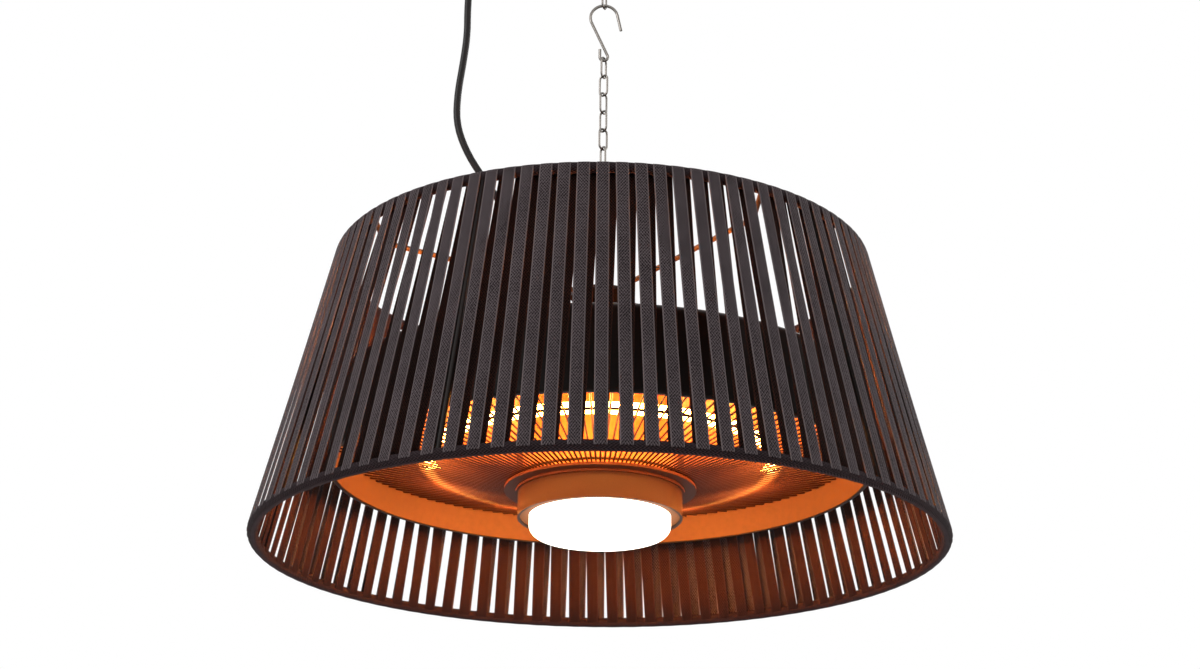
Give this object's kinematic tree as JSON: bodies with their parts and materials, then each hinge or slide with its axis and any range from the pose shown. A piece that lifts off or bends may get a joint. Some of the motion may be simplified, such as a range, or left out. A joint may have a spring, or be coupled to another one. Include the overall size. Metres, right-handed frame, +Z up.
{
  "type": "hanging patio heater",
  "caption": "Electric patio heater that hangs from a chain: a conical strap shade round a drum with a glowing ring, a radial grille and a round lamp below.",
  "frame": {"origin": "inside the upper bend of the top chain link, where a ceiling hook carries it", "axes": "+Z up along the chain, -Y towards the pictured front, the lead leaves on -X"},
  "size_m": [0.6012, 0.601, 0.7078],
  "materials": {
    "zinc_steel": "bright zinc-plated steel wire",
    "black_steel": "satin black powder coat",
    "strap_fabric": "flat woven synthetic strap, dark brown-grey",
    "reflector_aluminium": "satin rolled reflector sheet",
    "insulation": "pressed mineral board",
    "white_plastic": "moulded, matt",
    "ceramic": "unglazed ceramic",
    "quartz_glow": "quartz tube, glowing",
    "spring_steel": "heat-tinted strip",
    "grille_steel": "dark heat-proof coat",
    "lamp_paint": "satin brown-black coat",
    "opal_plastic": "opal diffuser, lit",
    "cast_aluminium": "pressed heat sink",
    "black_plastic": "moulded nylon",
    "lead_rubber": "round rubber-sheathed lead",
    "brass_pins": "turned pins"
  },
  "bodies": {
    "root": {"top_link": "zinc_steel"},
    "second_link": {"upper_link": "zinc_steel"},
    "chain": {"upper_chain": "zinc_steel", "s_hook": "zinc_steel", "lower_link_01": "zinc_steel", "lower_link_02": "zinc_steel", "lower_link_03": "zinc_steel", "lower_link_04": "zinc_steel", "lower_link_05": "zinc_steel", "lower_link_06": "zinc_steel", "lower_link_07": "zinc_steel", "lower_link_08": "zinc_steel", "lower_link_09": "zinc_steel", "lower_link_10": "zinc_steel", "lower_link_11": "zinc_steel", "lead_coil": "lead_rubber", "coil_tie": "black_plastic", "plug_body": "lead_rubber", "plug_pins": "brass_pins"},
    "lamp": {"eye_bolt": "zinc_steel", "bolt_nuts": "zinc_steel", "hub_plate": "black_steel", "top_ring": "black_steel", "bottom_ring": "black_steel", "frame_rods": "black_steel", "shade_arms": "black_steel", "top_rim_wrap": "strap_fabric", "bottom_rim_wrap": "strap_fabric", "outer_straps": "strap_fabric", "inner_straps": "strap_fabric", "heater_housing": "black_steel", "reflector": "reflector_aluminium", "insulation_board": "insulation", "core_shell": "black_steel", "connection_box": "black_steel", "box_screws": "zinc_steel", "terminal_block": "white_plastic", "thermal_cutout": "ceramic", "element_ring": "quartz_glow", "element_caps": "ceramic", "element_clips": "spring_steel", "grille_wires": "grille_steel", "grille_inner_ring": "grille_steel", "grille_support_ring": "grille_steel", "grille_outer_ring": "grille_steel", "grille_brackets": "spring_steel", "centre_flange": "lamp_paint", "lamp_collar": "lamp_paint", "diffuser_bezel": "lamp_paint", "diffuser": "opal_plastic", "led_heat_sink": "cast_aluminium", "led_board": "white_plastic", "led_driver": "white_plastic", "cable_gland": "black_plastic", "lead_sleeve": "lead_rubber", "mains_lead": "lead_rubber"}
  },
  "joints": [
    {"name": "swing_side", "type": "hinge", "parent": "root", "child": "second_link", "pos_m": [0, 0, -0.0195], "axis": [1, 0, 0], "range_deg": [-30, 30]},
    {"name": "swing_front", "type": "hinge", "parent": "second_link", "child": "chain", "pos_m": [0, 0, -0.0377], "axis": [0, 1, 0], "range_deg": [-30, 30]},
    {"name": "lamp_tilt", "type": "hinge", "parent": "chain", "child": "lamp", "pos_m": [0, 0, -0.4375], "axis": [1, 0, 0], "range_deg": [-20, 20], "deforming": ["mains_lead"]}
  ]
}
